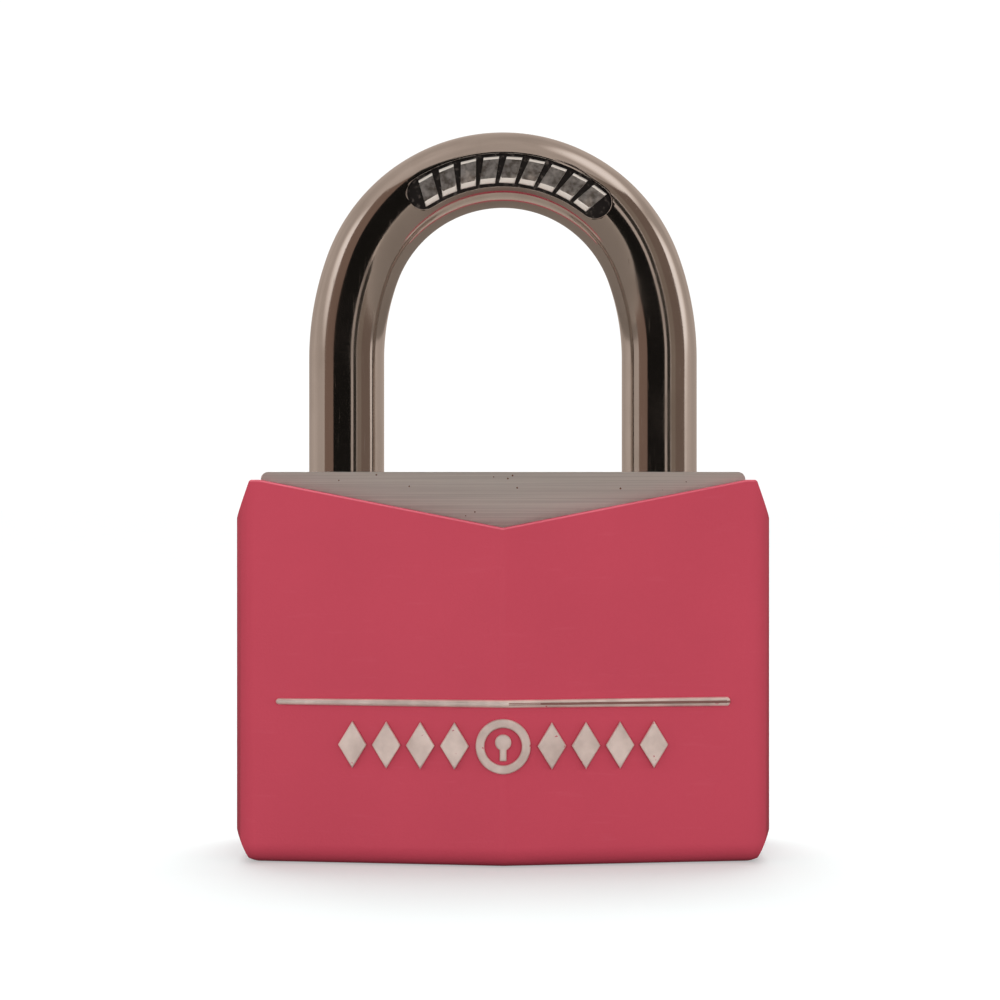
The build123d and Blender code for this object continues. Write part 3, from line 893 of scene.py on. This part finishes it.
spring_low, spring_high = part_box("shackle_spring")
spring_foot, spring_top = (leg_x, 0, spring_low.z), (leg_x, 0, spring_high.z)
outside = (spring_high.x - spring_low.x) / 2
spring = coil(
    "heel_coil_spring", spring_foot, spring_top, outside, heel_wire, heel_turns, steps=32
)
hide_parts("shackle_spring")
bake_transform(spring)
for number in range(1, 5):
    low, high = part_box(f"pin_spring_{number}")
    z, outside = (low.z + high.z) / 2, (high.z - low.z) / 2
    fixed, pushed = (low.x, 0, z), (high.x, 0, z)
    spring = coil(f"pin_coil_spring_{number}", fixed, pushed, outside, pin_wire, pin_turns)
    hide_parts(f"pin_spring_{number}")
    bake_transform(spring)
low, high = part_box("bolt_spring")
z, outside = (low.z + high.z) / 2, (high.z - low.z) / 2
fixed = (0, 0, z)
for body, end in (("bolt_toe", low.x), ("bolt_heel", high.x)):
    pushed = (end, 0, z)
    spring = coil(f"{body}_coil_spring", fixed, pushed, outside, bolt_wire, bolt_turns)
    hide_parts("bolt_spring")
    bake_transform(spring)

# %% [markdown]
# ## Floor, light and camera
# The lock stands on a plain white floor that runs out of sight. The light is a soft sun from
# above and behind, a wide panel in front and a small one at each side. Chrome only looks like
# chrome when it has something to mirror, so curved cards that only reflections see stand about
# the lock, the darkest in front, where a studio keeps its camera.

# %% floor: white to the camera, darker to other rays, and clear from below
floor_half = 6.0
floor_gap = 0.02 * MM
floor_glow = 0.30
bm = bmesh.new()
bmesh.ops.create_grid(bm, x_segments=8, y_segments=8, size=floor_half)
floor = piece_from(bm, "studio_floor")
if floor.data.polygons[0].normal.z < 0:
    floor.data.flip_normals()
floor.location.z = cover_low.z - floor_gap
white, tree, shader = finish("floor_white", Roughness=0.9)
shader.inputs["Specular IOR Level"].default_value = 0.0
paper = use(tree, grain, Per_metre=(40, 40, 40), Detail=2.0)
paper_white = mixed(tree, paper, (0.64, 0.70, 0.70), (0.66, 0.72, 0.72))
tree.links.new(paper_white, shader.inputs["Base Color"])
shader.inputs["Emission Color"].default_value = (1, 1, 1, 1)
shader.inputs["Emission Strength"].default_value = floor_glow
ray = tree.nodes.new("ShaderNodeLightPath")
dim = tree.nodes.new("ShaderNodeBsdfDiffuse")
dimmed = mixed(tree, ray.outputs["Is Glossy Ray"], (0.24, 0.23, 0.225), (0.20, 0.165, 0.14))
tree.links.new(dimmed, dim.inputs["Color"])
clear = tree.nodes.new("ShaderNodeBsdfTransparent")
below = tree.nodes.new("ShaderNodeNewGeometry").outputs["Backfacing"]
above = either(tree, ray.outputs["Is Camera Ray"], dim.outputs[0], shader.outputs[0])
surface = either(tree, below, above, clear.outputs[0])
tree.links.new(surface, tree.nodes["Material Output"].inputs["Surface"])
floor.data.materials.append(white)

# %% world: white to the camera, soft to the surfaces, and uneven in reflections
seen_strength, lit_strength, mirrored_strength = 1.05, 0.42, 0.48
unevenness = 0.19
glow_edge = 0.93
soft_glows = (
    ((0.94, -0.10, 0.33), 0.55),
    ((-0.86, -0.30, 0.41), 0.45),
    ((0.51, -0.03, 0.86), 0.5),
)
world = bpy.data.worlds.new("studio_air")
bpy.context.scene.world = world
world.use_nodes = True
air = world.node_tree
seen = air.nodes["Background"]
seen.inputs["Color"].default_value = (1, 1, 1, 1)
seen.inputs["Strength"].default_value = seen_strength
lit = air.nodes.new("ShaderNodeBackground")
lit.inputs["Color"].default_value = (1.0, 0.975, 0.95, 1)
lit.inputs["Strength"].default_value = lit_strength
mirrored = air.nodes.new("ShaderNodeBackground")
direction = air.nodes.new("ShaderNodeTexCoord").outputs["Generated"]
uneven = air.nodes.new("ShaderNodeTexNoise")
uneven.inputs["Scale"].default_value = 1.7
uneven.inputs["Detail"].default_value = 2.0
air.links.new(direction, uneven.inputs["Vector"])
glows = ranged(air, uneven.outputs[0], -unevenness, unevenness)
for towards, gain in soft_glows:
    dot = air.nodes.new("ShaderNodeVectorMath")
    dot.operation = "DOT_PRODUCT"
    dot.inputs[1].default_value = Vector(towards).normalized()
    air.links.new(direction, dot.inputs[0])
    glow = air.nodes.new("ShaderNodeMapRange")
    glow.interpolation_type = "SMOOTHSTEP"
    glow.inputs["From Min"].default_value = glow_edge
    glow.inputs["To Max"].default_value = gain
    air.links.new(dot.outputs["Value"], glow.inputs["Value"])
    glows = math_node(air, "ADD", glows, glow.outputs["Result"])
warmth = mixed(air, glows, (1.0, 0.83, 0.72), (1.0, 0.96, 0.94))
air.links.new(warmth, mirrored.inputs["Color"])
strength = math_node(air, "ADD", glows, mirrored_strength)
air.links.new(strength, mirrored.inputs["Strength"])
path = air.nodes.new("ShaderNodeLightPath")
unseen = either(air, path.outputs["Is Glossy Ray"], lit.outputs[0], mirrored.outputs[0])
all_rays = either(air, path.outputs["Is Camera Ray"], unseen, seen.outputs[0])
air.links.new(all_rays, air.nodes["World Output"].inputs["Surface"])

# %% lights, which reflections don't see
sun = bpy.data.lights.new("soft_sun", "SUN")
sun.angle = radians(50)
sun.energy = 2.3
lamp = bpy.data.objects.new("soft_sun", sun)
lamp.rotation_euler = (radians(-26), 0, 0)
lamp.visible_glossy = False
bpy.context.scene.collection.objects.link(lamp)


def panel(name, place, target, width, height, watts):
    """Soft rectangular light, aimed at a point."""
    light = bpy.data.lights.new(name, "AREA")
    light.shape = "RECTANGLE"
    light.size, light.size_y = width, height
    light.energy = watts
    lamp = bpy.data.objects.new(name, light)
    lamp.location = place
    aim = Vector(target) - Vector(place)
    lamp.rotation_euler = aim.to_track_quat("-Z", "Y").to_euler()
    lamp.visible_glossy = False
    bpy.context.scene.collection.objects.link(lamp)


middle = (cover_low + shackle_high) / 2
panel("front_panel", (0, -0.55, 0.045), middle, 0.80, 0.25, 3.45)
for side in (-1, 1):
    panel(f"side_panel_{side}", (side * 0.50, -0.22, 0.06), middle, 0.30, 0.25, 0.72)

# %% cards that the chrome mirrors
card_low, card_high = -0.2, 0.6
card_steps = 12


def card(name, angle_from, angle_to, distance, shade):
    """Curved card that only reflections see. Angles turn from -Y towards +X."""
    bm = bmesh.new()
    start, turn = radians(angle_from), radians(angle_to - angle_from)
    foot = Vector((sin(start), -cos(start), 0)) * distance
    first = bm.verts.new(foot + Vector((0, 0, card_low)))
    second = bm.verts.new(foot + Vector((0, 0, card_high)))
    edge = bm.edges.new((first, second))
    bmesh.ops.spin(
        bm, geom=[first, second, edge], cent=(0, 0, 0), axis=(0, 0, 1), angle=turn,
        steps=card_steps,
    )
    screen = piece_from(bm, name)
    glow, _, shader = finish(name, Roughness=1.0)
    shader.inputs["Base Color"].default_value = (0, 0, 0, 1)
    shader.inputs["Specular IOR Level"].default_value = 0.0
    shader.inputs["Emission Color"].default_value = (*shade, 1)
    shader.inputs["Emission Strength"].default_value = 1.0
    screen.data.materials.append(glow)
    screen.visible_camera = False
    screen.visible_diffuse = False
    screen.visible_shadow = False


card("front_card", -39, 15, 0.45, (0.008, 0.007, 0.006))
card("left_card", -68, -38, 0.5, (0.20, 0.13, 0.10))
card("right_line", 22, 32, 0.45, (0.03, 0.025, 0.02))
card("right_card", 34, 48, 0.5, (0.22, 0.17, 0.135))
card("right_shade", 48, 80, 0.5, (0.17, 0.12, 0.095))

# %% camera
view_distance = 195 * MM
view_height = 29.5 * MM
view_width = 84.7 * MM
view_aside = -0.25 * MM
sensor_width = 36.0
clip_start = 0.005
camera_data = bpy.data.cameras.new("camera")
camera_data.sensor_width = sensor_width
camera_data.lens = sensor_width * view_distance / view_width
camera_data.clip_start = clip_start
camera = bpy.data.objects.new("camera", camera_data)
camera.location = (view_aside, -view_distance, view_height)
camera.rotation_euler = (pi / 2, 0, 0)
bpy.context.scene.collection.objects.link(camera)
bpy.context.scene.camera = camera
bpy.context.scene.view_settings.view_transform = "Standard"
